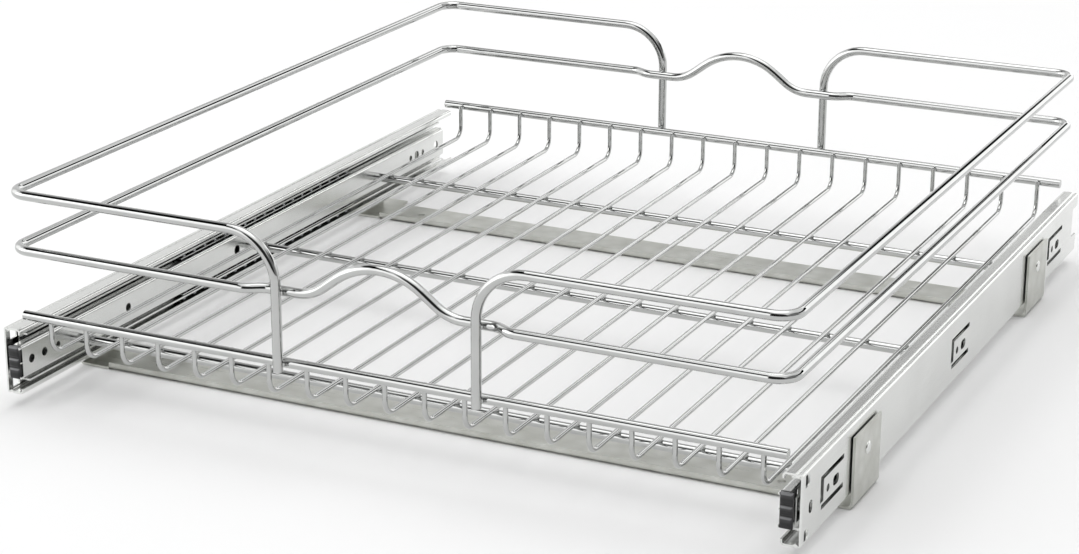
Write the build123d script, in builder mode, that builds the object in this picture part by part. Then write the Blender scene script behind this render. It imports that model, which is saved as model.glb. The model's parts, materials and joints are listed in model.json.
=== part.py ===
"""Pull out cabinet basket: a chrome wire basket on two ball bearing slides.

Millimetres. +X is to the right, +Y to the rear of the cabinet and +Z up. The origin is
on the cabinet floor, midway between the slides and midway along them. The basket is
pushed in.
"""

import os
from math import radians, tan

from build123d import *

# ---------------------------------------------------------------- slides
SLIDE_LENGTH = 558.8
SLIDE_HEIGHT = 42.0
SLIDE_THICKNESS = 12.7
SLIDE_SPACING = 484.8  # clear width between the webs of the two drawer rails
SLIDE_LIFT = 8.5  # cabinet floor to the bottom of the outer rails
SHEET = 1.2
SHEET_BEND = 1.6  # bend radius of the rail sheet, at its middle
OUTER_CORNER_BEND = 0.8
OUTER_LIP = 3.6  # how far the outer rail's edges turn back
OUTER_RAIL_MOUTH = 1.0  # the outer rail's lips stand this far behind the drawer web
GROOVE_INSET = 1.9  # outer face of the slide to the groove rolled in each flange
GROOVE_FLOOR = 0.9
GROOVE_DEPTH = 0.8  # also the length of its sloping sides
GROOVE_BEND = 0.7  # bend radius at the middle of the sheet
INTERMEDIATE_REAR_GAP = 16.4  # rear end of the outer rail to that of the intermediate
INTERMEDIATE_FRONT_GAP = 9.4  # the same at the front, to the ends of its flanges
TONGUE_GAP = 0.6  # front end of the outer rail to the tongue of the intermediate's web
TONGUE_HEIGHT = 13.7
INTERMEDIATE_DEPTH = 6.6
INTERMEDIATE_SETBACK = 2.8  # drawer web face to the edges of the intermediate rail
DRAWER_RAIL_REAR_GAP = 15.9
DRAWER_RAIL_DEPTH = 6.0

# balls and their cages
OUTER_BALL = 4.0
INNER_BALL = 3.0
BALL_CLEARANCE = 0.2
BALL_PITCH = 12.7
BALLS_PER_ROW = 18
CAGE_SHEET = 0.6
CAGE_BEND = 0.8
CAGE_END = 6.0  # last ball to the end of its cage
CAGE_MIDDLE_Y = 11.0
CAGE_WEB_CLEARANCE = 0.7
BALL_HOLE_CLEARANCE = 0.15
CAGE_EDGE = 2.6  # ball centre to the free edge of its cage
OUTER_BALL_SHIFT = 0.45  # from the middle of its race towards the basket
INNER_BALL_SHIFT = 0.7

# cabinet mounting tabs, lanced in the outer rails
TAB_FRONT_INSET = 30.0  # front end of the rail to the first tab
TAB_MIDDLE_SHIFT = -15.4  # middle of the rail to the second
TAB_REAR_INSET = 74.5  # rear end of the rail to the third
TAB_LENGTH = 35.0
TAB_TOP = 7.6  # above the middle of the rail
TAB_BOTTOM = 9.4  # below it
TAB_SLOT = 2.9
TAB_END_SLOT = 5.0  # slot at the free end of the tab
TAB_END_SHIFT = 0.7
TAB_BRIDGE = 3.0
TAB_HOLE_INSET = 10.3
TAB_HOLE = 4.6
TAB_SLOT_HOLE_INSET = 23.0
TAB_SLOT_HOLE = (9.5, 6.0)
TAB_HOLE_DROP = 1.6

# openings at the ends of the outer rails
FRONT_SLIT_INSET = 7.4
UPPER_SLIT = (6.4, 7.2)
UPPER_SLIT_RISE = 15.3
LOWER_SLIT = (6.4, 6.0)
LOWER_SLIT_DROP = 15.8
FRONT_OVAL_INSET = 13.0
FRONT_OVAL_DROP = 1.8
FRONT_OVAL = (5.4, 7.4)
REAR_STEP_DEPTH = 12.0
REAR_STEP_TOP = 12.0
REAR_STEP_BOTTOM = 8.5
STOP_GAP = 0.5
STOP_HEIGHT = 6.0
STOP_REACH = 3.4
STOP_SHEET = 1.5

# round holes in the drawer rails: place from that end of the slide, and diameter
DRAWER_FRONT_HOLES = ((9.0, 5.5), (22.0, 5.5), (36.0, 4.2), (111.5, 5.5), (241.5, 6.6))
DRAWER_REAR_HOLES = ((68.8, 4.2), (59.2, 6.6), (49.6, 4.2), (28.0, 6.6))

# front bumpers
BUMPER_LENGTH = 2.0
BUMPER_WIDTH = 7.4
BUMPER_HEIGHT = 20.4
BUMPER_SETBACK = 0.9
BUMPER_SEAT_GAP = 0.3
BUMPER_PLUG = 11.0
BUMPER_FIT = 0.3
BUMPER_RIB = (5.0, 0.7)
BUMPER_RIB_PITCH = 6.2
BUMPER_RIBS = 3
BUMPER_ROUND = 1.0

# ---------------------------------------------------------------- cross members
STRIP_SHEET = 1.5
STRIP_WIDTH = 35.0
STRIP_LIP = 4.5
EAR_WIDTH = 44.0
EAR_TOP = 43.0
EAR_BEND = 2.6
EAR_GAP = 0.8
FRONT_EAR_INSET = 99.4  # front end of the slides to the middle of the front ears
REAR_EAR_INSET = 109.4
EAR_LANDING = 7.0  # how far the wide part of the blank reaches in under a slide
SCREW_HOLE = 5.0
SCREW_SPACING = 418.0
RIVET_SHANK = 4.6
RIVET_HOLE = 4.9
RIVET_HEAD = (7.6, 1.1)
RIVET_HEAD_TAPER = 30.0
RIVET_TAIL = (7.0, 0.4)

# ---------------------------------------------------------------- basket wire
WIRE = 3.0
WIRE_COUNT = 19
WIRE_PITCH = 25.4
WIRE_BEND = 9.0
WIRE_TOP_RISE = 0.8  # wire ends above the middle of the top rods
ROD = 6.0
TOP_ROD_HALF_LENGTH = 243.8
TOP_ROD_INSET = 7.2  # end of the slides to the middle of a top rod
TOP_ROD_HEIGHT = 57.6
FRONT_ROD_INSET = 51.4  # front end of the slides to the front bottom rod
MIDDLE_ROD_SHIFT = -24.0
REAR_ROD_INSET = 123.4
SPIGOT = 4.0
SPIGOT_HOLE = 4.3
SPIGOT_HEAD = (7.0, 1.0)
WELD_GAP = 0.05

# rails
RAIL = 6.0
RAIL_HALF_WIDTH = 246.1
UPPER_RAIL_HEIGHT = 135.5
LOWER_RAIL_HEIGHT = 101.0
POST_X = 2.5 * WIRE_PITCH
POST_DROP = 3.6  # post ends below the middle of the top rods
POST_BEND = 30.0
RAIL_CORNER = 12.0
JOG_OUTSIDE = 20.5  # from the posts to the outer and the inner end of the jog
JOG_INSIDE = 10.5
JOG_BEND = 12.0
HUMP_HALF_WIDTH = 43.6
HUMP_SLOPE = 37.0
HUMP_BASE_BEND = 28.0
HUMP_TOP_BEND = 45.0

# ---------------------------------------------------------------- worked out
FRONT_Y = -SLIDE_LENGTH / 2
REAR_Y = SLIDE_LENGTH / 2
TAB_PLACES = (FRONT_Y + TAB_FRONT_INSET, TAB_MIDDLE_SHIFT, REAR_Y - TAB_REAR_INSET)
EAR_PLACES = (FRONT_Y + FRONT_EAR_INSET, REAR_Y - REAR_EAR_INSET)
TOP_ROD_Y = REAR_Y - TOP_ROD_INSET
BOTTOM_ROD_PLACES = {
    "front": FRONT_Y + FRONT_ROD_INSET,
    "middle": MIDDLE_ROD_SHIFT,
    "rear": REAR_Y - REAR_ROD_INSET,
}
DRAWER_HOLES = [(FRONT_Y + inset, size) for inset, size in DRAWER_FRONT_HOLES]
DRAWER_HOLES += [(REAR_Y - inset, size) for inset, size in DRAWER_REAR_HOLES]
INNER_X = SLIDE_SPACING / 2
OUTER_X = INNER_X + SLIDE_THICKNESS
SLIDE_MIDDLE = SLIDE_LIFT + SLIDE_HEIGHT / 2
OUTER_RACE = SLIDE_HEIGHT / 2 - SHEET
INTERMEDIATE_HALF = OUTER_RACE - OUTER_BALL - 2 * BALL_CLEARANCE
INNER_RACE = INTERMEDIATE_HALF - SHEET
DRAWER_HALF = INNER_RACE - INNER_BALL - 2 * BALL_CLEARANCE
OUTER_BALL_RISE = (OUTER_RACE + INTERMEDIATE_HALF) / 2
INNER_BALL_RISE = (INNER_RACE + DRAWER_HALF) / 2
INTERMEDIATE_BACK = INTERMEDIATE_SETBACK + INTERMEDIATE_DEPTH
OUTER_CAGE_BACK = INTERMEDIATE_BACK + CAGE_WEB_CLEARANCE + CAGE_SHEET
INNER_CAGE_BACK = INTERMEDIATE_BACK - SHEET - CAGE_WEB_CLEARANCE
OUTER_BALL_DEPTH = (OUTER_RAIL_MOUTH + SHEET + OUTER_CAGE_BACK) / 2 - OUTER_BALL_SHIFT
INNER_BALL_DEPTH = (INTERMEDIATE_SETBACK + INNER_CAGE_BACK) / 2 - INNER_BALL_SHIFT
DRAWER_RAIL_REAR = REAR_Y - DRAWER_RAIL_REAR_GAP
BOTTOM_ROD_HEIGHT = SLIDE_MIDDLE
FLOOR_WIRE_HEIGHT = BOTTOM_ROD_HEIGHT + ROD / 2 + WIRE / 2 + WELD_GAP
HOOK_Y = TOP_ROD_Y - ROD / 2 - WIRE / 2 - WELD_GAP
RAIL_Y = TOP_ROD_Y + ROD / 2 + RAIL / 2 + WELD_GAP
JOG_Y = RAIL_Y - RAIL - WELD_GAP
SIDES = {"left": -1, "right": 1}

os.makedirs("parts", exist_ok=True)


def save(part, name):
    """Label a finished piece and write it out under its own name."""
    part.label = name
    export_step(part, f"parts/{name}.step")


def unit(start, end):
    """Unit vector from one point to another."""
    return (Vector(*end) - Vector(*start)).normalized()


def rounded_path(points, bends, closed=False):
    """Lines through the points, with an arc of the given radius at each bend."""
    corners = [Vector(*point) for point in points]
    count = len(corners)
    bent = range(count) if closed else range(1, count - 1)
    arcs = {}
    for index in bent:
        before, here, after = corners[index - 1], corners[index], corners[(index + 1) % count]
        arriving, leaving = unit(before, here), unit(here, after)
        turn = radians(arriving.get_angle(leaving))
        setback = bends[index] * tan(turn / 2)
        arcs[index] = (here - arriving * setback, here + leaving * setback, arriving)
    with BuildLine() as path:
        for index in range(count if closed else count - 1):
            following = (index + 1) % count
            start = arcs[index][1] if index in arcs else corners[index]
            end = arcs[following][0] if following in arcs else corners[following]
            Line(start, end)
            if following in arcs:
                TangentArc(arcs[following][0], arcs[following][1], tangent=arcs[following][2])
    return path.wire()


def round_wire(path, diameter):
    """A round wire or rod swept along a path."""
    with BuildPart() as wire:
        with BuildSketch(Plane(origin=path @ 0, z_dir=path % 0)):
            Circle(diameter / 2)
        sweep(path=path)
    return wire.part


def channel(side, outline, bend, sheet, front, rear):
    """A bent sheet section on one slide, from its front to its rear end.

    The outline runs along the middle of the sheet. It is given as pairs of the depth
    behind the drawer rail's face and the height above the middle of the slide.
    """
    points = [(side * (INNER_X + depth), SLIDE_MIDDLE + rise) for depth, rise in outline]
    with BuildPart() as section:
        with BuildSketch(Plane.XZ.offset(-rear)):
            with BuildLine():
                FilletPolyline(*points, radius=bend)
            trace(line_width=sheet)
        extrude(amount=rear - front)
    return section.part


def c_outline(edge, back, half_height, sheet):
    """Middle line of a C section, open towards the basket."""
    rise = half_height - sheet / 2
    depth = back - sheet / 2
    return [(edge, rise), (depth, rise), (depth, -rise), (edge, -rise)]


def web_plane(side, depth):
    """Plane across a slide, seen along X, with its height from the slide's middle."""
    middle = (side * (INNER_X + depth), 0, SLIDE_MIDDLE)
    return Plane(origin=middle, x_dir=(0, 1, 0), z_dir=(1, 0, 0))


# ---------------------------------------------------------------- fixed pieces
def outer_rail(side):
    """Cabinet member: C section with lips, mounting tabs, end openings and a stop."""
    rise = SLIDE_HEIGHT / 2 - SHEET / 2
    mouth = OUTER_RAIL_MOUTH + SHEET / 2
    back = SLIDE_THICKNESS - SHEET / 2
    lip = SLIDE_HEIGHT / 2 - OUTER_LIP
    groove_back = SLIDE_THICKNESS - GROOVE_INSET
    groove = [
        (groove_back - 2 * GROOVE_DEPTH - GROOVE_FLOOR, rise),
        (groove_back - GROOVE_DEPTH - GROOVE_FLOOR, rise - GROOVE_DEPTH),
        (groove_back - GROOVE_DEPTH, rise - GROOVE_DEPTH),
        (groove_back, rise),
    ]
    upper = [(mouth, lip), (mouth, rise), *groove, (back, rise)]
    outline = upper + [(depth, -height) for depth, height in reversed(upper)]
    bends = [SHEET_BEND] + len(groove) * [GROOVE_BEND] + [OUTER_CORNER_BEND]
    bends += bends[::-1]
    web = web_plane(side, back)
    stop_y = REAR_Y - INTERMEDIATE_REAR_GAP + STOP_GAP
    with BuildPart() as rail:
        add(channel(side, outline, bends, SHEET, FRONT_Y, REAR_Y))
        with BuildSketch(web):
            for tab_front in TAB_PLACES:
                tab_rear = tab_front + TAB_LENGTH
                slot_end = TAB_BRIDGE - TAB_BOTTOM
                with BuildLine():
                    Polyline((tab_rear, TAB_TOP), (tab_front, TAB_TOP), (tab_front, slot_end))
                trace(line_width=TAB_SLOT)
                with Locations((tab_front + TAB_END_SHIFT, (slot_end + TAB_TOP) / 2)):
                    Rectangle(TAB_END_SLOT, TAB_TOP - slot_end)
                with Locations(((tab_front + tab_rear) / 2, -TAB_BOTTOM)):
                    Rectangle(TAB_LENGTH, TAB_SLOT)
                with Locations((tab_front + TAB_HOLE_INSET, -TAB_HOLE_DROP)):
                    Circle(TAB_HOLE / 2)
                with Locations((tab_front + TAB_SLOT_HOLE_INSET, -TAB_HOLE_DROP)):
                    SlotOverall(*TAB_SLOT_HOLE)
            with Locations((FRONT_Y + FRONT_SLIT_INSET, UPPER_SLIT_RISE)):
                Rectangle(*UPPER_SLIT)
            with Locations((FRONT_Y + FRONT_SLIT_INSET, -LOWER_SLIT_DROP)):
                Rectangle(*LOWER_SLIT)
            with Locations((FRONT_Y + FRONT_OVAL_INSET, -FRONT_OVAL_DROP)):
                SlotOverall(FRONT_OVAL[1], FRONT_OVAL[0], rotation=90)
            with Locations((REAR_Y, (REAR_STEP_TOP - REAR_STEP_BOTTOM) / 2)):
                RectangleRounded(2 * REAR_STEP_DEPTH, REAR_STEP_TOP + REAR_STEP_BOTTOM, SHEET_BEND)
            for place in EAR_PLACES:
                with Locations((place, 0)):
                    Circle(RIVET_HOLE / 2)
        extrude(amount=SHEET, both=True, mode=Mode.SUBTRACT)
        with BuildSketch(Plane.XY.offset(SLIDE_MIDDLE)):
            stop_x = side * (OUTER_X - SHEET / 2 - STOP_REACH / 2)
            with Locations((stop_x, stop_y + STOP_SHEET / 2)):
                Rectangle(STOP_REACH, STOP_SHEET)
        extrude(amount=STOP_HEIGHT / 2, both=True)
    return rail.part


def cross_member(place):
    """Strip under both slides, with a flanged front edge and an ear at each end."""
    strip_front = place - EAR_WIDTH / 2
    ear_outside = OUTER_X + EAR_GAP + STRIP_SHEET
    ear_points = [
        (-ear_outside + STRIP_SHEET / 2, EAR_TOP),
        (-ear_outside + STRIP_SHEET / 2, STRIP_SHEET / 2),
        (ear_outside - STRIP_SHEET / 2, STRIP_SHEET / 2),
        (ear_outside - STRIP_SHEET / 2, EAR_TOP),
    ]
    strip_half = INNER_X - EAR_LANDING
    trim_depth = EAR_WIDTH - STRIP_WIDTH
    lip_corner = STRIP_SHEET / 2
    lip_points = [
        (strip_front + lip_corner, STRIP_LIP),
        (strip_front + lip_corner, lip_corner),
        (strip_front + STRIP_LIP, lip_corner),
    ]
    with BuildPart() as member:
        with BuildSketch(Plane.XZ.offset(-strip_front - EAR_WIDTH)):
            with BuildLine():
                FilletPolyline(*ear_points, radius=EAR_BEND)
            trace(line_width=STRIP_SHEET)
        extrude(amount=EAR_WIDTH)
        with BuildSketch(Plane.XY):
            with Locations((0, strip_front + EAR_WIDTH)):
                RectangleRounded(2 * strip_half, 2 * trim_depth, EAR_BEND)
            with Locations((0, strip_front)):
                Rectangle(2 * strip_half, 2 * STRIP_LIP)
        extrude(amount=STRIP_SHEET, mode=Mode.SUBTRACT)
        with BuildSketch(Plane.YZ.offset(-strip_half)):
            with BuildLine():
                FilletPolyline(*lip_points, radius=STRIP_SHEET)
            trace(line_width=STRIP_SHEET)
        extrude(amount=2 * strip_half)
        with BuildSketch(Plane.XY):
            with Locations(
                (-SCREW_SPACING / 2, strip_front + STRIP_WIDTH / 2),
                (SCREW_SPACING / 2, strip_front + STRIP_WIDTH / 2),
            ):
                Circle(SCREW_HOLE / 2)
        extrude(amount=STRIP_SHEET, mode=Mode.SUBTRACT)
        with BuildSketch(Plane(origin=(-ear_outside, place, SLIDE_MIDDLE), z_dir=(1, 0, 0))):
            Circle(RIVET_HOLE / 2)
        extrude(amount=2 * ear_outside, mode=Mode.SUBTRACT)
    return member.part


def cross_member_rivets():
    """Four rivets through the ears and the webs of the outer rails."""
    ear_outside = OUTER_X + EAR_GAP + STRIP_SHEET
    web_inside = OUTER_X - SHEET
    with BuildPart() as rivets:
        for side in SIDES.values():
            for place in EAR_PLACES:
                outward = Plane(origin=(side * web_inside, place, SLIDE_MIDDLE), z_dir=(side, 0, 0))
                with BuildSketch(outward):
                    Circle(RIVET_SHANK / 2)
                extrude(amount=ear_outside - web_inside)
                with BuildSketch(outward):
                    Circle(RIVET_TAIL[0] / 2)
                extrude(amount=-RIVET_TAIL[1])
                with BuildSketch(outward.offset(ear_outside - web_inside)):
                    Circle(RIVET_HEAD[0] / 2)
                extrude(amount=RIVET_HEAD[1], taper=RIVET_HEAD_TAPER)
    return rivets.part


# ---------------------------------------------------------------- slide pieces that move
def intermediate_rail(side):
    """C section between the cabinet and the drawer members, its web tongued in front."""
    outline = c_outline(INTERMEDIATE_SETBACK, INTERMEDIATE_BACK, INTERMEDIATE_HALF, SHEET)
    front = FRONT_Y + INTERMEDIATE_FRONT_GAP
    tongue_front = FRONT_Y + TONGUE_GAP
    tongue_rear = front + SHEET_BEND
    with BuildPart() as rail:
        add(channel(side, outline, SHEET_BEND, SHEET, front, REAR_Y - INTERMEDIATE_REAR_GAP))
        with BuildSketch(web_plane(side, INTERMEDIATE_BACK - SHEET / 2)):
            with Locations(((tongue_front + tongue_rear) / 2, 0)):
                Rectangle(tongue_rear - tongue_front, TONGUE_HEIGHT)
        extrude(amount=SHEET / 2, both=True)
    return rail.part


def ball_rows():
    """Places of one row of balls along the slide."""
    first = CAGE_MIDDLE_Y - (BALLS_PER_ROW - 1) * BALL_PITCH / 2
    return [first + index * BALL_PITCH for index in range(BALLS_PER_ROW)]


def ball_cage(side, ball, depth, rise, back):
    """Thin C section with a hole for each ball, above and below."""
    edge = depth - CAGE_EDGE
    web = back - CAGE_SHEET / 2
    outline = [(edge, rise), (web, rise), (web, -rise), (edge, -rise)]
    rows = ball_rows()
    with BuildPart() as cage:
        add(channel(side, outline, CAGE_BEND, CAGE_SHEET, rows[0] - CAGE_END, rows[-1] + CAGE_END))
        with BuildSketch(Plane.XY.offset(SLIDE_MIDDLE)):
            with Locations(*[(side * (INNER_X + depth), y) for y in rows]):
                Circle(ball / 2 + BALL_HOLE_CLEARANCE)
        extrude(amount=SLIDE_HEIGHT / 2, both=True, mode=Mode.SUBTRACT)
    return cage.part


def balls(side, ball, depth, rise):
    """The balls of one cage, in an upper and a lower row."""
    x = side * (INNER_X + depth)
    with BuildPart() as group:
        with Locations(*[(x, y, SLIDE_MIDDLE + row) for y in ball_rows() for row in (-rise, rise)]):
            Sphere(ball / 2)
    return group.part


# ---------------------------------------------------------------- pieces on the basket
def drawer_rail(side):
    """Drawer member, with its web towards the basket and the rods' spigot holes."""
    outline = c_outline(DRAWER_RAIL_DEPTH, SHEET, DRAWER_HALF, SHEET)
    with BuildPart() as rail:
        add(channel(side, outline, SHEET_BEND, SHEET, FRONT_Y, DRAWER_RAIL_REAR))
        with BuildSketch(web_plane(side, SHEET / 2)):
            for place, diameter in DRAWER_HOLES:
                with Locations((place, 0)):
                    Circle(diameter / 2)
            for place in BOTTOM_ROD_PLACES.values():
                with Locations((place, 0)):
                    Circle(SPIGOT_HOLE / 2)
        extrude(amount=SHEET, both=True, mode=Mode.SUBTRACT)
    return rail.part


def front_bumper(side):
    """Ribbed end piece in front of a slide, plugged into the drawer rail."""
    block_middle = side * (INNER_X + BUMPER_SETBACK + BUMPER_WIDTH / 2)
    seat = FRONT_Y - BUMPER_SEAT_GAP
    plug_front = SHEET + BUMPER_FIT
    plug_width = DRAWER_RAIL_DEPTH - plug_front
    plug_height = 2 * (DRAWER_HALF - SHEET - BUMPER_FIT)
    with BuildPart() as bumper:
        with BuildSketch(Plane.XZ.offset(-seat)):
            with Locations((block_middle, SLIDE_MIDDLE)):
                RectangleRounded(BUMPER_WIDTH, BUMPER_HEIGHT, BUMPER_ROUND)
        extrude(amount=BUMPER_LENGTH)
        with BuildSketch(Plane.XZ.offset(-seat + BUMPER_LENGTH)):
            with Locations((block_middle, SLIDE_MIDDLE)):
                with GridLocations(0, BUMPER_RIB_PITCH, 1, BUMPER_RIBS):
                    Rectangle(BUMPER_WIDTH - 2 * BUMPER_ROUND, BUMPER_RIB[0])
        extrude(amount=BUMPER_RIB[1])
        with BuildSketch(Plane.XZ.offset(-seat)):
            with Locations((side * (INNER_X + plug_front + plug_width / 2), SLIDE_MIDDLE)):
                Rectangle(plug_width, plug_height)
        extrude(amount=-BUMPER_PLUG)
    return bumper.part


def bottom_rod(place):
    """Cross rod under the floor wires, swaged through both drawer rails."""
    half_length = INNER_X - WELD_GAP
    with BuildPart() as rod:
        with BuildSketch(Plane(origin=(0, place, BOTTOM_ROD_HEIGHT), z_dir=(1, 0, 0))):
            Circle(ROD / 2)
        extrude(amount=half_length, both=True)
        for side in SIDES.values():
            end = Plane(origin=(side * half_length, place, BOTTOM_ROD_HEIGHT), z_dir=(side, 0, 0))
            with BuildSketch(end):
                Circle(SPIGOT / 2)
            extrude(amount=2 * WELD_GAP + SHEET)
            with BuildSketch(end.offset(2 * WELD_GAP + SHEET)):
                Circle(SPIGOT_HEAD[0] / 2)
            extrude(amount=SPIGOT_HEAD[1])
    return rod.part


def top_rod(place):
    """Cross rod that the floor wires hook up to."""
    with BuildPart() as rod:
        with BuildSketch(Plane(origin=(0, place, TOP_ROD_HEIGHT), z_dir=(1, 0, 0))):
            Circle(ROD / 2)
        extrude(amount=TOP_ROD_HALF_LENGTH, both=True)
    return rod.part


def floor_wire(index):
    """One floor wire, turned up at both ends to the top rods."""
    x = (index - (WIRE_COUNT - 1) / 2) * WIRE_PITCH
    top = TOP_ROD_HEIGHT + WIRE_TOP_RISE
    points = [
        (x, -HOOK_Y, top),
        (x, -HOOK_Y, FLOOR_WIRE_HEIGHT),
        (x, HOOK_Y, FLOOR_WIRE_HEIGHT),
        (x, HOOK_Y, top),
    ]
    return round_wire(rounded_path(points, [WIRE_BEND] * len(points)), WIRE)


def upper_rail(side):
    """Side rail that bends down into a post at the front and at the rear."""
    post_end = TOP_ROD_HEIGHT - POST_DROP
    post_x = side * POST_X
    edge_x = side * RAIL_HALF_WIDTH
    points = [
        (post_x, -RAIL_Y, post_end),
        (post_x, -RAIL_Y, UPPER_RAIL_HEIGHT),
        (edge_x, -RAIL_Y, UPPER_RAIL_HEIGHT),
        (edge_x, RAIL_Y, UPPER_RAIL_HEIGHT),
        (post_x, RAIL_Y, UPPER_RAIL_HEIGHT),
        (post_x, RAIL_Y, post_end),
    ]
    bends = [0, POST_BEND, RAIL_CORNER, RAIL_CORNER, POST_BEND, 0]
    return round_wire(rounded_path(points, bends), RAIL)


def lower_rail_half():
    """Points and bends of the lower rail, along its front from left to right."""
    base = LOWER_RAIL_HEIGHT
    crest = base + HUMP_HALF_WIDTH * tan(radians(HUMP_SLOPE))
    left = [
        (-RAIL_HALF_WIDTH, -RAIL_Y, base, RAIL_CORNER),
        (-POST_X - JOG_OUTSIDE, -RAIL_Y, base, JOG_BEND),
        (-POST_X - JOG_INSIDE, -JOG_Y, base, JOG_BEND),
        (-HUMP_HALF_WIDTH, -JOG_Y, base, HUMP_BASE_BEND),
    ]
    right = [(-x, y, z, bend) for x, y, z, bend in reversed(left)]
    return left + [(0, -JOG_Y, crest, HUMP_TOP_BEND)] + right


def lower_rail():
    """Closed rail that passes inside the posts, with a hump at the front and the rear."""
    front = lower_rail_half()
    corners = front + [(-x, -y, z, bend) for x, y, z, bend in front]
    points = [corner[:3] for corner in corners]
    bends = [corner[3] for corner in corners]
    return round_wire(rounded_path(points, bends, closed=True), RAIL)


# ---------------------------------------------------------------- build everything
for side_name, side in SIDES.items():
    save(outer_rail(side), f"{side_name}_outer_rail")
    save(intermediate_rail(side), f"{side_name}_intermediate_rail")
    save(
        ball_cage(side, OUTER_BALL, OUTER_BALL_DEPTH, OUTER_BALL_RISE, OUTER_CAGE_BACK),
        f"{side_name}_outer_ball_cage",
    )
    save(
        ball_cage(side, INNER_BALL, INNER_BALL_DEPTH, INNER_BALL_RISE, INNER_CAGE_BACK),
        f"{side_name}_inner_ball_cage",
    )
    save(balls(side, OUTER_BALL, OUTER_BALL_DEPTH, OUTER_BALL_RISE), f"{side_name}_outer_balls")
    save(balls(side, INNER_BALL, INNER_BALL_DEPTH, INNER_BALL_RISE), f"{side_name}_inner_balls")
    save(drawer_rail(side), f"{side_name}_drawer_rail")
    save(front_bumper(side), f"{side_name}_front_bumper")
    save(upper_rail(side), f"{side_name}_upper_rail")

save(cross_member(EAR_PLACES[0]), "front_cross_member")
save(cross_member(EAR_PLACES[1]), "rear_cross_member")
save(cross_member_rivets(), "cross_member_rivets")

for rod_name, place in BOTTOM_ROD_PLACES.items():
    save(bottom_rod(place), f"{rod_name}_bottom_rod")
save(top_rod(-TOP_ROD_Y), "front_top_rod")
save(top_rod(TOP_ROD_Y), "rear_top_rod")
for wire_index in range(WIRE_COUNT):
    save(floor_wire(wire_index), f"floor_wire_{wire_index + 1:02d}")
save(lower_rail(), "lower_rail")
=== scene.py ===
"""Looks of a chrome wire pull-out basket on two ball bearing slides, around its frame."""

import json
import math

import bmesh
import bpy
from mathutils import Matrix, Vector


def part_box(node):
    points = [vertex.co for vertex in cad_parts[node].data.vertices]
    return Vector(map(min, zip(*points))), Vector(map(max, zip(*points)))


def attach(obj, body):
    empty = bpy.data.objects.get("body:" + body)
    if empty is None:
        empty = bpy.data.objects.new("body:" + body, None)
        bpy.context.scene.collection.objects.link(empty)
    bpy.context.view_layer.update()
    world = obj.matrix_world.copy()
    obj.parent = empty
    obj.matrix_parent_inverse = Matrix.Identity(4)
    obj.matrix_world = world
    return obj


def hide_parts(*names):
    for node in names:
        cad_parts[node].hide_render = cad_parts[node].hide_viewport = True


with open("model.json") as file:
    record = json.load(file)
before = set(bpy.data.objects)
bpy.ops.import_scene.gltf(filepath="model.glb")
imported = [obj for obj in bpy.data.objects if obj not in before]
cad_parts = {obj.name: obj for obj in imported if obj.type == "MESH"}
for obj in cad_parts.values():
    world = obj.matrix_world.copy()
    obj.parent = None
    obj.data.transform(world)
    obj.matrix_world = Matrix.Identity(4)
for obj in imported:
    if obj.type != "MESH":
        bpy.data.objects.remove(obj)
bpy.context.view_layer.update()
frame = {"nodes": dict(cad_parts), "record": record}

MM = 0.001
SIDES = {"left": -1, "right": 1}
WIRE_NAMES = [f"floor_wire_{number:02d}" for number in range(1, 20)]

# sockets of a Mix node that blends colours
COLOUR_A = 6
COLOUR_B = 7
COLOUR_OUT = 2

# camera, solved from the photograph
IMAGE_WIDTH = 1079
FOCAL_PIXELS = 2578.23
SENSOR_WIDTH = 36.0
CAMERA_PLACE = (0.6655, -1.45305, 0.5823)
CAMERA_AZIMUTH = 25.636
CAMERA_ELEVATION = 18.908
CAMERA_ROLL = 0.22
CAMERA_CLIP = (0.05, 50)


# ---------------------------------------------------------------- helpers
def linear(colour):
    """Linear RGBA of an sRGB hex colour."""
    parts = [int(colour[index:index + 2], 16) / 255 for index in (1, 3, 5)]
    rgb = [part / 12.92 if part <= 0.04045 else ((part + 0.055) / 1.055) ** 2.4 for part in parts]
    return (*rgb, 1.0)


def add_node(tree, kind, settings=None, sockets=None):
    """Add one node with its settings, and with values or links for its sockets by name or number."""
    made = tree.nodes.new(kind)
    for name, value in (settings or {}).items():
        setattr(made, name, value)
    for socket, value in (sockets or {}).items():
        if isinstance(value, bpy.types.NodeSocket):
            tree.links.new(value, made.inputs[socket])
        else:
            made.inputs[socket].default_value = value
    return made


def set_stops(ramp, stops):
    """Give a colour ramp these stops, as places and colours."""
    elements = ramp.color_ramp.elements
    while len(elements) < len(stops):
        elements.new(1.0)
    for element, (place, colour) in zip(elements, stops):
        element.position = place
        element.color = colour


def grey(shade):
    """Linear RGBA of a neutral grey."""
    return (shade, shade, shade, 1.0)


def new_material(name):
    """An empty node material and its tree."""
    material = bpy.data.materials.new(name)
    material.use_nodes = True
    material.node_tree.nodes.clear()
    return material, material.node_tree


def per_mm(size):
    """Texture scale at which one pattern cell is this many millimetres, on metre coordinates."""
    return 1 / (size * MM)


def finish_mesh(name, mesh_data, body, material, smooth_angle=35):
    """Turn a bmesh into a piece that rides on a body."""
    mesh = bpy.data.meshes.new(name)
    bmesh.ops.recalc_face_normals(mesh_data, faces=mesh_data.faces)
    mesh_data.to_mesh(mesh)
    mesh_data.free()
    piece = bpy.data.objects.new(name, mesh)
    bpy.context.scene.collection.objects.link(piece)
    mesh.materials.append(material)
    mesh.shade_smooth()
    mesh.set_sharp_from_angle(angle=math.radians(smooth_angle))
    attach(piece, body)
    return piece


def middle(node):
    """Middle of a node's box."""
    low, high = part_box(node)
    return (low + high) / 2


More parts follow.
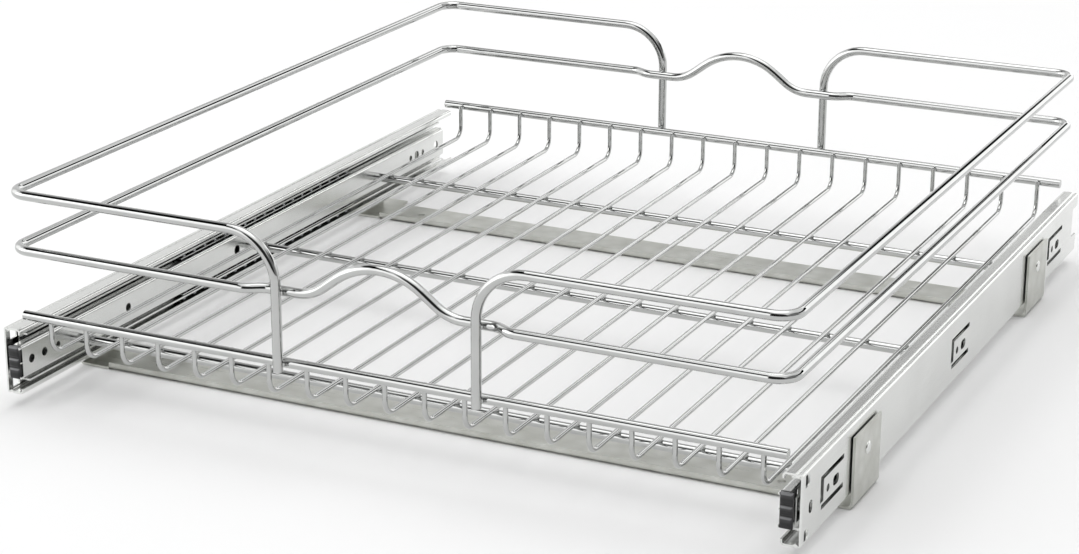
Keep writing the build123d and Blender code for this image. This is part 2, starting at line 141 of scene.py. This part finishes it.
# ---------------------------------------------------------------- materials
def bright_chrome():
    """Decorative chrome over drawn steel wire: it mirrors the studio, half as bright as it is."""
    material, tree = new_material("bright_chrome")
    place = add_node(tree, "ShaderNodeTexCoord")
    # haze in soft clouds 14 mm wide, and marks of the drawing die, which are finer on real wire
    # and are drawn 0.7 mm wide so that they show
    haze = add_node(tree, "ShaderNodeTexNoise", {"noise_dimensions": "3D"},
                    {"Vector": place.outputs["Object"], "Scale": per_mm(14.0), "Detail": 3.0})
    marks = add_node(tree, "ShaderNodeTexNoise", {},
                     {"Vector": place.outputs["Object"], "Scale": per_mm(0.7), "Detail": 2.0})
    tone = add_node(tree, "ShaderNodeValToRGB", {}, {"Fac": haze.outputs["Fac"]})
    set_stops(tone, ((0.0, linear("#B4B5B4")), (1.0, linear("#C3C4C3"))))
    gloss = add_node(tree, "ShaderNodeMapRange", {},
                     {"Value": haze.outputs["Fac"], "From Min": 0.3, "From Max": 0.7,
                      "To Min": 0.02, "To Max": 0.05})
    relief = add_node(tree, "ShaderNodeBump", {},
                      {"Height": marks.outputs["Fac"], "Strength": 0.012, "Distance": 0.1 * MM})
    surface = add_node(tree, "ShaderNodeBsdfPrincipled", {},
                       {"Base Color": tone.outputs["Color"], "Metallic": 1.0,
                        "Roughness": gloss.outputs["Result"], "Normal": relief.outputs["Normal"]})
    add_node(tree, "ShaderNodeOutputMaterial", {}, {"Surface": surface.outputs["BSDF"]})
    return material


def bright_zinc():
    """Clear zinc plate on cold rolled strip: satin, with fine rolling lines along the slide, and
    painted shade in its narrow recesses.
    """
    material, tree = new_material("bright_zinc")
    place = add_node(tree, "ShaderNodeTexCoord")
    # rolling lines drawn out along the slide: 0.9 mm apart so that they show, finer on real strip
    along = add_node(tree, "ShaderNodeMapping", {},
                     {"Vector": place.outputs["Object"], "Scale": (1.0, 0.015, 1.0)})
    lines = add_node(tree, "ShaderNodeTexNoise", {},
                     {"Vector": along.outputs["Vector"], "Scale": per_mm(0.9), "Detail": 4.0})
    cloud = add_node(tree, "ShaderNodeTexNoise", {},
                     {"Vector": place.outputs["Object"], "Scale": per_mm(45.0), "Detail": 4.0})
    tone = add_node(tree, "ShaderNodeValToRGB", {}, {"Fac": cloud.outputs["Fac"]})
    set_stops(tone, ((0.3, linear("#DEDFDD")), (0.7, linear("#E7E8E6"))))
    # painted shade: narrow raceways and recesses, where ambient occlusion finds surfaces close by,
    # are darkened to near black in place of the shade that falls in them
    openness = add_node(tree, "ShaderNodeAmbientOcclusion", {"samples": 8}, {"Distance": 5 * MM})
    unshaded_share = add_node(tree, "ShaderNodeMapRange", {},
                     {"Value": openness.outputs["AO"], "From Min": 0.1, "From Max": 0.45})
    metal = add_node(tree, "ShaderNodeMix", {"data_type": "RGBA"},
                     {"Factor": unshaded_share.outputs["Result"], COLOUR_A: linear("#2A2A29"),
                      COLOUR_B: tone.outputs["Color"]})
    gloss = add_node(tree, "ShaderNodeMapRange", {},
                     {"Value": lines.outputs["Fac"], "From Min": 0.3, "From Max": 0.7,
                      "To Min": 0.2, "To Max": 0.27})
    relief = add_node(tree, "ShaderNodeBump", {},
                      {"Height": lines.outputs["Fac"], "Strength": 0.03, "Distance": 0.1 * MM})
    surface = add_node(tree, "ShaderNodeBsdfPrincipled", {},
                       {"Base Color": metal.outputs[COLOUR_OUT], "Metallic": 1.0,
                        "Roughness": gloss.outputs["Result"], "Normal": relief.outputs["Normal"]})
    add_node(tree, "ShaderNodeOutputMaterial", {}, {"Surface": surface.outputs["BSDF"]})
    return material


def dull_zinc():
    """Hot dip zinc on the cross members: duller and warmer, with a faint crystal pattern."""
    material, tree = new_material("dull_zinc")
    place = add_node(tree, "ShaderNodeTexCoord")
    # rolling lines drawn out across the cabinet, as coarse as they need to be to show, and
    # crystals of zinc 11 mm wide
    across = add_node(tree, "ShaderNodeMapping", {},
                      {"Vector": place.outputs["Object"], "Scale": (0.02, 1.0, 1.0)})
    lines = add_node(tree, "ShaderNodeTexNoise", {},
                     {"Vector": across.outputs["Vector"], "Scale": per_mm(1.1), "Detail": 4.0})
    crystals = add_node(tree, "ShaderNodeTexVoronoi", {"feature": "F1"},
                        {"Vector": place.outputs["Object"], "Scale": per_mm(11.0)})
    tone = add_node(tree, "ShaderNodeValToRGB", {}, {"Fac": crystals.outputs["Distance"]})
    set_stops(tone, ((0.0, linear("#D2D3CE")), (1.0, linear("#BCBDB6"))))
    gloss = add_node(tree, "ShaderNodeMapRange", {},
                     {"Value": lines.outputs["Fac"], "From Min": 0.3, "From Max": 0.7,
                      "To Min": 0.27, "To Max": 0.38})
    relief = add_node(tree, "ShaderNodeBump", {},
                      {"Height": lines.outputs["Fac"], "Strength": 0.08, "Distance": 0.1 * MM})
    surface = add_node(tree, "ShaderNodeBsdfPrincipled", {},
                       {"Base Color": tone.outputs["Color"], "Metallic": 1.0,
                        "Roughness": gloss.outputs["Result"], "Normal": relief.outputs["Normal"]})
    add_node(tree, "ShaderNodeOutputMaterial", {}, {"Surface": surface.outputs["BSDF"]})
    return material


def ball_steel():
    """Ground bearing steel with a film of grease: bright, with soft smears."""
    material, tree = new_material("ball_steel")
    place = add_node(tree, "ShaderNodeTexCoord")
    # smears of grease 3 mm wide
    smear = add_node(tree, "ShaderNodeTexNoise", {},
                     {"Vector": place.outputs["Object"], "Scale": per_mm(3.0), "Detail": 2.0})
    tone = add_node(tree, "ShaderNodeValToRGB", {}, {"Fac": smear.outputs["Fac"]})
    set_stops(tone, ((0.0, linear("#B9BBBE")), (1.0, linear("#D8DADD"))))
    gloss = add_node(tree, "ShaderNodeMapRange", {},
                     {"Value": smear.outputs["Fac"], "To Min": 0.06, "To Max": 0.3})
    surface = add_node(tree, "ShaderNodeBsdfPrincipled", {},
                       {"Base Color": tone.outputs["Color"], "Metallic": 1.0,
                        "Roughness": gloss.outputs["Result"]})
    add_node(tree, "ShaderNodeOutputMaterial", {}, {"Surface": surface.outputs["BSDF"]})
    return material


def black_acetal():
    """Moulded black acetal: satin, with the fine grain of the mould and a painted highlight on the
    slopes that face up.
    """
    material, tree = new_material("black_acetal")
    place = add_node(tree, "ShaderNodeTexCoord")
    # grain of the mould, 0.35 mm, and rubbed spots 4 mm wide
    grain = add_node(tree, "ShaderNodeTexNoise", {},
                     {"Vector": place.outputs["Object"], "Scale": per_mm(0.35), "Detail": 2.0})
    rubbed = add_node(tree, "ShaderNodeTexNoise", {},
                      {"Vector": place.outputs["Object"], "Scale": per_mm(4.0), "Detail": 3.0})
    tone = add_node(tree, "ShaderNodeValToRGB", {}, {"Fac": rubbed.outputs["Fac"]})
    set_stops(tone, ((0.35, linear("#101112")), (0.75, linear("#1E1F20"))))
    # painted highlight: slopes that face up are painted pale in place of the light that falls on
    # them from above, and those that face down stay black
    slope = add_node(tree, "ShaderNodeSeparateXYZ", {}, {"Vector": place.outputs["Normal"]})
    painted_highlight_share = add_node(tree, "ShaderNodeMapRange", {},
                    {"Value": slope.outputs["Z"], "From Min": 0.0, "From Max": 0.45,
                     "To Min": 0.0, "To Max": 0.5})
    skin_with_painted_highlight = add_node(tree, "ShaderNodeMix", {"data_type": "RGBA"},
                    {"Factor": painted_highlight_share.outputs["Result"], COLOUR_A: tone.outputs["Color"],
                     COLOUR_B: linear("#A4A5A7")})
    gloss = add_node(tree, "ShaderNodeMapRange", {},
                     {"Value": rubbed.outputs["Fac"], "To Min": 0.35, "To Max": 0.5})
    relief = add_node(tree, "ShaderNodeBump", {},
                      {"Height": grain.outputs["Fac"], "Strength": 0.25, "Distance": 0.1 * MM})
    surface = add_node(tree, "ShaderNodeBsdfPrincipled", {},
                       {"Base Color": skin_with_painted_highlight.outputs[COLOUR_OUT],
                        "Roughness": gloss.outputs["Result"], "IOR": 1.48,
                        "Normal": relief.outputs["Normal"]})
    add_node(tree, "ShaderNodeOutputMaterial", {}, {"Surface": surface.outputs["BSDF"]})
    return material


CHROME = bright_chrome()
ZINC = bright_zinc()
STRIP_ZINC = dull_zinc()
BALLS = ball_steel()
ACETAL = black_acetal()
SLOT_MATERIALS = {
    "chrome_wire": CHROME,
    "zinc_steel": ZINC,
    "galvanised_strip": STRIP_ZINC,
    "ball_steel": BALLS,
    "black_plastic": ACETAL,
}
for subpart in frame["record"]["subparts"]:
    node_mesh = frame["nodes"][subpart["node"]].data
    node_mesh.materials.clear()
    node_mesh.materials.append(SLOT_MATERIALS[subpart["material_slot"]])


# ---------------------------------------------------------------- weld nuggets
RAIL_RADIUS = 3.0 * MM
# half sizes of a nugget: across a thin wire, along it, and out of the joint
NUGGET_ACROSS = 1.75 * MM
NUGGET_ALONG = 2.1 * MM
NUGGET_BULGE = 0.75 * MM
# half sizes of the larger nuggets at the posts
POST_NUGGET = (2.7 * MM, 1.0 * MM, 2.9 * MM)
# the middle share of a nugget that is smoothed, and how much
WAIST_SHARE = 0.4
WAIST_SMOOTHING = 0.35


def weld_nuggets(name, places, reach):
    """Squeezed metal where two wires were resistance welded, one nugget at each place."""
    mesh_data = bmesh.new()
    for place in places:
        nugget = bmesh.ops.create_icosphere(
            mesh_data, subdivisions=2, radius=1,
            matrix=Matrix.Translation(place) @ Matrix.Diagonal((*reach, 1.0)))
        waist = [vert for vert in nugget["verts"]
                 if abs(vert.co.x - place.x) < WAIST_SHARE * reach[0]]
        bmesh.ops.smooth_vert(mesh_data, verts=waist, factor=WAIST_SMOOTHING,
                              use_axis_x=True, use_axis_y=True, use_axis_z=True)
    finish_mesh(name, mesh_data, "basket", CHROME, smooth_angle=80)


wire_middles = [middle(name).x for name in WIRE_NAMES]
floor_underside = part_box(WIRE_NAMES[0])[0].z
for rod in ("front_bottom_rod", "middle_bottom_rod", "rear_bottom_rod"):
    rod_y = middle(rod).y
    weld_nuggets(f"{rod}_welds",
                 [Vector((x, rod_y, floor_underside)) for x in wire_middles],
                 (NUGGET_ACROSS, NUGGET_ALONG, NUGGET_BULGE))

POST_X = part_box("right_upper_rail")[0].x + RAIL_RADIUS
LOWER_RAIL_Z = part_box("lower_rail")[0].z + RAIL_RADIUS
for rod, toward in (("front_top_rod", 1), ("rear_top_rod", -1)):
    low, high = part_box(rod)
    rod_middle = (low + high) / 2
    inner_face = rod_middle.y + toward * (high.z - low.z) / 2
    outer_face = rod_middle.y - toward * (high.z - low.z) / 2
    weld_nuggets(f"{rod}_welds",
                 [Vector((x, inner_face, rod_middle.z)) for x in wire_middles],
                 (NUGGET_ACROSS, NUGGET_BULGE, NUGGET_ALONG))
    weld_nuggets(f"{rod}_post_welds",
                 [Vector((side * POST_X, outer_face, z))
                  for side in SIDES.values() for z in (rod_middle.z, LOWER_RAIL_Z)],
                 POST_NUGGET)


# ---------------------------------------------------------------- rivets
RAIL_SHEET = 1.2 * MM
# tail, shank and domed head: millimetres out from the web's inner face, and off the rivet's axis
RIVET_PROFILE = ((-0.4, 0.0), (-0.4, 3.3), (0.0, 3.5), (0.0, 2.3), (3.5, 2.3), (3.5, 3.8),
                 (3.8, 3.8), (4.2, 3.35), (4.5, 2.5), (4.6, 1.2), (4.6, 0.0))
RIVET_STEPS = 28
MERGE_DISTANCE = 0.01 * MM


def rivet(mesh_data, place, side):
    """One domed rivet, turned from its profile about the X axis."""
    verts = [mesh_data.verts.new((place.x + side * out * MM, place.y + radius * MM, place.z))
             for out, radius in RIVET_PROFILE]
    edges = [mesh_data.edges.new(pair) for pair in zip(verts, verts[1:])]
    bmesh.ops.spin(mesh_data, geom=verts + edges, cent=place, axis=(1, 0, 0),
                   angle=math.tau, steps=RIVET_STEPS, use_merge=True)


rivet_mesh = bmesh.new()
web_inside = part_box("right_outer_rail")[1].x - RAIL_SHEET
rivet_height = middle("cross_member_rivets").z
for side in SIDES.values():
    for strip in ("front_cross_member", "rear_cross_member"):
        rivet(rivet_mesh, Vector((side * web_inside, middle(strip).y, rivet_height)), side)
bmesh.ops.remove_doubles(rivet_mesh, verts=rivet_mesh.verts, dist=MERGE_DISTANCE)
rivets = finish_mesh("domed_rivets", rivet_mesh, "cabinet_frame", ZINC,
                     smooth_angle=50)
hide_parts("cross_member_rivets")


# ---------------------------------------------------------------- bumpers
BUMPER_SETBACK = 0.9 * MM
BUMPER_SEAT_GAP = 0.3 * MM
CUSHION_RISE = 0.7 * MM
CUSHION_PITCH = 6.2 * MM
CUSHION_SLOPE = 1.3 * MM
GAP_HALF = 0.5 * MM
BLOCK_ROUNDING = 0.3 * MM
SHARP_ANGLE = math.radians(20)
PLUG_INSET = 1.5 * MM
PLUG_WIDTH = 4.5 * MM
PLUG_TRIM = 3.0 * MM
PLUG_ROUNDING = 0.4 * MM
CLIP_THICKNESS = 0.85 * MM
CLIP_ROOT = 0.4 * MM
CLIP_ROUNDING = 0.25 * MM
# height over the rail's middle, size in height and reach beyond the slide, in millimetres
CLIPS = ((9.4, 1.5, 2.6), (0.0, 1.0, 1.8), (-9.4, 1.5, 2.6))


def add_box(mesh_data, centre, size):
    """Add a box about its middle, and give its vertices."""
    made = bmesh.ops.create_cube(mesh_data, size=1,
                                 matrix=Matrix.Translation(centre) @ Matrix.Diagonal((*size, 1.0)))
    return made["verts"]


def round_edges(mesh_data, edges, offset):
    """Round these edges off."""
    bmesh.ops.bevel(mesh_data, geom=edges, offset=offset, offset_type="OFFSET", segments=2,
                    profile=0.5, affect="EDGES", material=-1, clamp_overlap=True)


def add_rounded_box(mesh_data, centre, size, offset):
    """Add a box with rounded edges about its middle."""
    corners = set(add_box(mesh_data, centre, size))
    edges = [edge for edge in mesh_data.edges if edge.verts[0] in corners]
    round_edges(mesh_data, edges, offset)


def drawer_web(side_name, side):
    """X of the face of a drawer rail's web that looks at the basket."""
    return side * min(abs(corner.x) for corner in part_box(f"{side_name}_drawer_rail"))


def bumper(side_name, side):
    """Moulded end piece: a rounded block with three cushions and a plug behind it."""
    low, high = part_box(f"{side_name}_front_bumper")
    slide_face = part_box(f"{side_name}_outer_rail")[0].y
    web = drawer_web(side_name, side)
    inner = web + side * BUMPER_SETBACK
    outer = side * max(abs(low.x), abs(high.x))
    seat = slide_face - BUMPER_SEAT_GAP
    size = Vector((abs(outer - inner), seat - low.y - CUSHION_RISE, high.z - low.z))
    centre = Vector(((inner + outer) / 2, seat - size.y / 2, (low.z + high.z) / 2))
    mesh_data = bmesh.new()
    add_box(mesh_data, centre, size)
    # two narrow gaps part the front face into three cushions
    for gap_middle in (-CUSHION_PITCH / 2, CUSHION_PITCH / 2):
        for gap_edge in (gap_middle - GAP_HALF, gap_middle + GAP_HALF):
            whole = mesh_data.verts[:] + mesh_data.edges[:] + mesh_data.faces[:]
            bmesh.ops.bisect_plane(mesh_data, geom=whole, plane_no=(0, 0, 1),
                                   plane_co=centre + Vector((0, 0, gap_edge)))
    cushions = []
    for face in mesh_data.faces:
        heights = [vert.co.z for vert in face.verts]
        if face.normal.y < -0.5 and max(heights) - min(heights) > 3 * GAP_HALF:
            cushions.append(face)
    bmesh.ops.inset_individual(mesh_data, faces=cushions, thickness=CUSHION_SLOPE,
                               depth=CUSHION_RISE)
    sharp = [edge for edge in mesh_data.edges
             if len(edge.link_faces) == 2 and edge.calc_face_angle(0) > SHARP_ANGLE]
    round_edges(mesh_data, sharp, BLOCK_ROUNDING)
    plug_size = Vector((PLUG_WIDTH, high.y - seat, size.z - PLUG_TRIM))
    plug_centre = Vector((web + side * (PLUG_INSET + plug_size.x / 2),
                          seat + plug_size.y / 2, centre.z))
    add_rounded_box(mesh_data, plug_centre, plug_size, PLUG_ROUNDING)
    piece = finish_mesh(f"{side_name}_ribbed_bumper", mesh_data, "basket",
                        ACETAL, smooth_angle=40)
    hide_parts(f"{side_name}_front_bumper")


def bumper_clips(side_name, side):
    """Three narrow tongues of the drawer rail, which reach forward along its bumper."""
    web = drawer_web(side_name, side)
    slide_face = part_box(f"{side_name}_outer_rail")[0].y
    middle_z = middle(f"{side_name}_drawer_rail").z
    mesh_data = bmesh.new()
    for rise, tall, reach in CLIPS:
        size = Vector((CLIP_THICKNESS, reach * MM + CLIP_ROOT, tall * MM))
        centre = Vector((web + side * size.x / 2, slide_face + CLIP_ROOT - size.y / 2,
                         middle_z + rise * MM))
        add_rounded_box(mesh_data, centre, size, CLIP_ROUNDING)
    finish_mesh(f"{side_name}_bumper_clips", mesh_data, "basket", ZINC)


for side_name, side in SIDES.items():
    bumper(side_name, side)
    bumper_clips(side_name, side)


# ---------------------------------------------------------------- floor, light and camera
FLOOR_REACH = 7.0
FLOOR_DROP = 0.3 * MM
STUDIO_STRENGTH = 1.8

floor_mesh = bmesh.new()
bmesh.ops.create_grid(floor_mesh, x_segments=1, y_segments=1, size=FLOOR_REACH,
                      matrix=Matrix.Translation((0, 0, -FLOOR_DROP)))
floor_data = bpy.data.meshes.new("pale_floor")
floor_mesh.to_mesh(floor_data)
floor_mesh.free()
pale_floor = bpy.data.objects.new("pale_floor", floor_data)
bpy.context.scene.collection.objects.link(pale_floor)
paper, paper_tree = new_material("white_paper")
paper_surface = add_node(paper_tree, "ShaderNodeBsdfPrincipled", {},
                         {"Base Color": linear("#F4F4F4"), "Roughness": 0.9,
                          "Specular IOR Level": 0.1})
add_node(paper_tree, "ShaderNodeOutputMaterial", {}, {"Surface": paper_surface.outputs["BSDF"]})
floor_data.materials.append(paper)

world = bpy.data.worlds.new("studio")
bpy.context.scene.world = world
world.use_nodes = True
sky = world.node_tree
sky.nodes.clear()
direction = add_node(sky, "ShaderNodeTexCoord").outputs["Generated"]
split = add_node(sky, "ShaderNodeSeparateXYZ", {}, {"Vector": direction})
# brightness by height: a white sweep, a greyer zone above it and a white panel overhead
height = add_node(sky, "ShaderNodeValToRGB", {}, {"Fac": split.outputs["Z"]})
set_stops(height, ((0.0, grey(0.95)), (0.5, grey(1.0)), (0.62, grey(0.6)), (0.86, grey(0.6)),
                   (0.96, grey(1.0))))


def window(value, stops):
    """Brightness along one direction of the studio, as a smooth ramp from -1 to 1."""
    share = add_node(sky, "ShaderNodeMapRange", {},
                     {"Value": value, "From Min": -1.0, "From Max": 1.0})
    ramp = add_node(sky, "ShaderNodeValToRGB", {}, {"Fac": share.outputs["Result"]})
    set_stops(ramp, [((place + 1) / 2, grey(shade)) for place, shade in stops])
    return ramp.outputs["Color"]


def darken(*masks):
    """What is left of the light where all these masks meet."""
    made = masks[0]
    for mask in masks[1:]:
        made = add_node(sky, "ShaderNodeMath", {"operation": "MULTIPLY"},
                        {0: made, 1: mask}).outputs["Value"]
    left = add_node(sky, "ShaderNodeMath", {"operation": "SUBTRACT"}, {0: 1.0, 1: made})
    return left.outputs["Value"]


# the dark gap round the overhead tent, a circle about a direction high on the right
tent = add_node(sky, "ShaderNodeVectorMath", {"operation": "DOT_PRODUCT"},
                {0: direction, 1: (0.437, 0.0, 0.9)}).outputs["Value"]
across, along, upward = split.outputs["X"], split.outputs["Y"], split.outputs["Z"]
gap = darken(window(tent, ((0.32, 0.0), (0.37, 1.0), (0.555, 1.0), (0.6, 0.0))),
             window(across, ((-0.32, 1.0), (-0.22, 0.0))),
             window(along, ((0.1, 1.0), (0.45, 0.25))))
# the upper edge of the backdrop behind the basket, in its middle, right and left stretches
tilted = add_node(sky, "ShaderNodeVectorMath", {"operation": "DOT_PRODUCT"},
                  {0: direction, 1: (-0.12, 0.0, 1.0)}).outputs["Value"]
middle_edge = darken(window(tilted, ((0.31, 0.0), (0.335, 1.0), (0.435, 1.0), (0.46, 0.0))),
                     window(across, ((-0.24, 0.0), (-0.18, 1.0), (0.1, 1.0), (0.2, 0.0))),
                     window(along, ((0.0, 0.0), (0.3, 1.0))))
right_edge = darken(window(upward, ((0.28, 0.0), (0.32, 1.0), (0.53, 1.0), (0.57, 0.0))),
                    window(across, ((0.17, 0.0), (0.22, 1.0))),
                    window(along, ((0.0, 0.0), (0.3, 1.0), (0.84, 1.0), (0.88, 0.0))))
left_edge = darken(window(upward, ((0.22, 0.0), (0.26, 0.7), (0.38, 0.7), (0.42, 0.9),
                                   (0.52, 0.9), (0.56, 0.0))),
                   window(across, ((-0.36, 0.0), (-0.31, 1.0), (-0.2, 1.0), (-0.16, 0.0))),
                   window(along, ((0.0, 0.0), (0.3, 1.0))))
# the dark room behind the camera
room = darken(window(along, ((-0.62, 1.0), (-0.5, 0.0))),
              window(across, ((-0.26, 0.0), (-0.16, 0.98))),
              window(upward, ((0.7, 1.0), (0.82, 0.0))))
# less light from the left rear and from the right
corner = darken(window(across, ((-0.36, 0.5), (-0.24, 0.0))),
                window(along, ((0.2, 0.0), (0.5, 1.0))))
flank = darken(window(across, ((0.62, 0.0), (0.78, 0.85))),
               window(along, ((0.1, 1.0), (0.35, 0.5))))
shade = height.outputs["Color"]
for mask in (gap, middle_edge, right_edge, left_edge, room, corner, flank):
    product = add_node(sky, "ShaderNodeMath", {"operation": "MULTIPLY"}, {0: shade, 1: mask})
    shade = product.outputs["Value"]
background = add_node(sky, "ShaderNodeBackground", {},
                      {"Color": shade, "Strength": STUDIO_STRENGTH})
add_node(sky, "ShaderNodeOutputWorld", {}, {"Surface": background.outputs["Background"]})


def soft_light(name, place, target, size, power):
    """A large rectangular light that faces a point."""
    data = bpy.data.lights.new(name, "AREA")
    data.shape = "RECTANGLE"
    data.size, data.size_y = size
    data.energy = power
    light = bpy.data.objects.new(name, data)
    bpy.context.scene.collection.objects.link(light)
    light.location = place
    facing = Vector(target) - Vector(place)
    light.rotation_euler = facing.to_track_quat("-Z", "Y").to_euler()


soft_light("overhead_light", place=(-0.3, 0.3, 2.6), target=(0, 0, 0), size=(1.8, 1.8), power=10)
soft_light("left_light", place=(-2.2, -1.5, 1.1), target=(0, 0, 0.05), size=(1.8, 1.4), power=8)

azimuth = math.radians(CAMERA_AZIMUTH)
elevation = math.radians(CAMERA_ELEVATION)
roll = math.radians(CAMERA_ROLL)
back = Vector((math.sin(azimuth) * math.cos(elevation), -math.cos(azimuth) * math.cos(elevation),
               math.sin(elevation)))
level = Vector((math.cos(azimuth), math.sin(azimuth), 0))
upright = back.cross(level)
right = math.cos(roll) * level + math.sin(roll) * upright
up = math.cos(roll) * upright - math.sin(roll) * level
camera_data = bpy.data.cameras.new("photo_camera")
camera_data.sensor_fit = "HORIZONTAL"
camera_data.sensor_width = SENSOR_WIDTH
camera_data.lens = SENSOR_WIDTH * FOCAL_PIXELS / IMAGE_WIDTH
camera_data.clip_start, camera_data.clip_end = CAMERA_CLIP
camera = bpy.data.objects.new("photo_camera", camera_data)
bpy.context.scene.collection.objects.link(camera)
turn = Matrix((right, up, back)).transposed().to_4x4()
camera.matrix_world = Matrix.Translation(CAMERA_PLACE) @ turn
bpy.context.scene.camera = camera
bpy.context.scene.view_settings.view_transform = "Standard"
bpy.context.scene.view_settings.look = "None"
